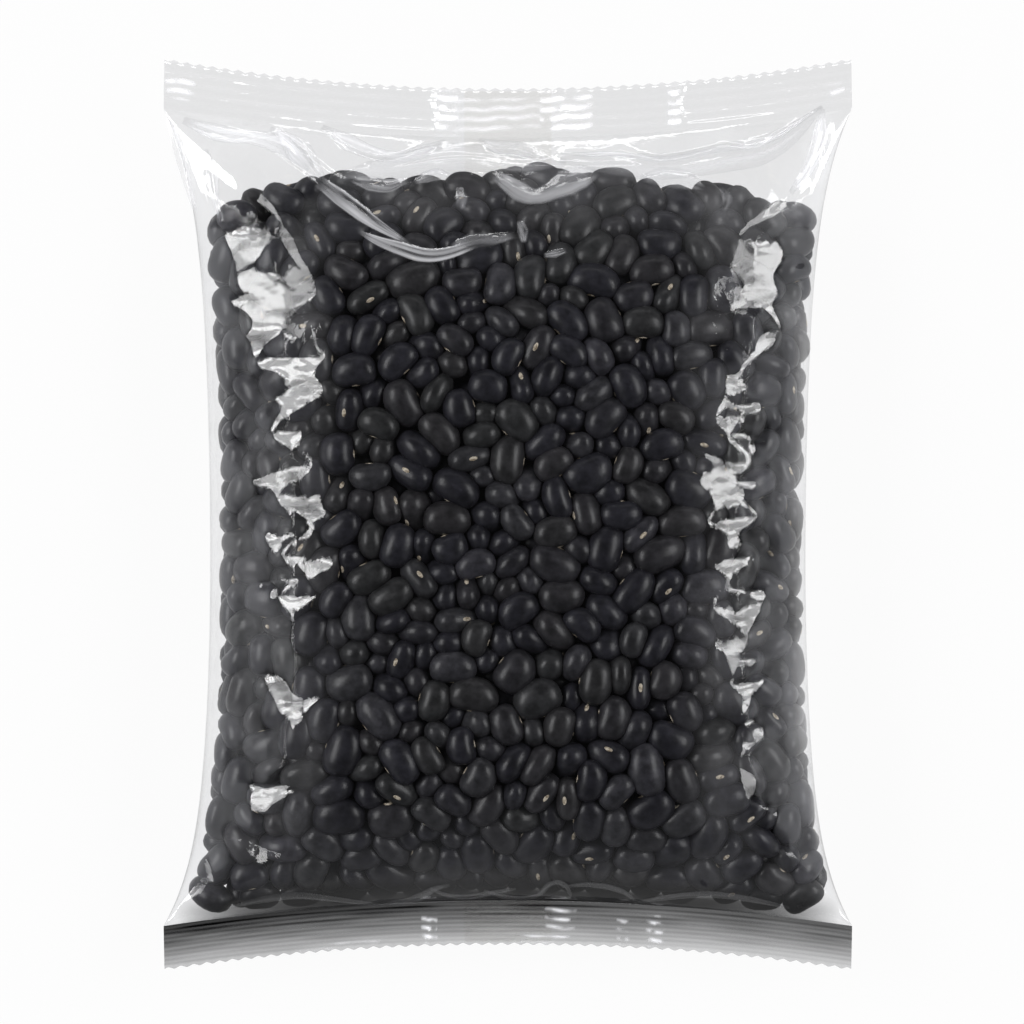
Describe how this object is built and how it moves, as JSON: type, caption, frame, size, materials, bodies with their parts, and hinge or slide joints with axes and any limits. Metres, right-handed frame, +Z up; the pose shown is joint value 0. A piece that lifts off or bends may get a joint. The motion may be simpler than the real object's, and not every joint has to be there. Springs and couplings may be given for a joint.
{
  "type": "bag of dried beans",
  "caption": "Clear sealed pillow bag packed with dried black beans, with ribbed zigzag-cut end seals and a seam down its back, lying face up.",
  "frame": {"origin": "under the middle of the bag's outline, on the surface that it lies on", "axes": "+X across the bag to the right of its front, +Y along the bag to its top seal, +Z up through the shown front face"},
  "size_m": [0.15, 0.198, 0.0382],
  "materials": {
    "dried_beans": "satin",
    "clear_film": "gloss",
    "seed_scar": "satin"
  },
  "bodies": {
    "root": {"bean_bag": "dried_beans"}
  },
  "joints": []
}
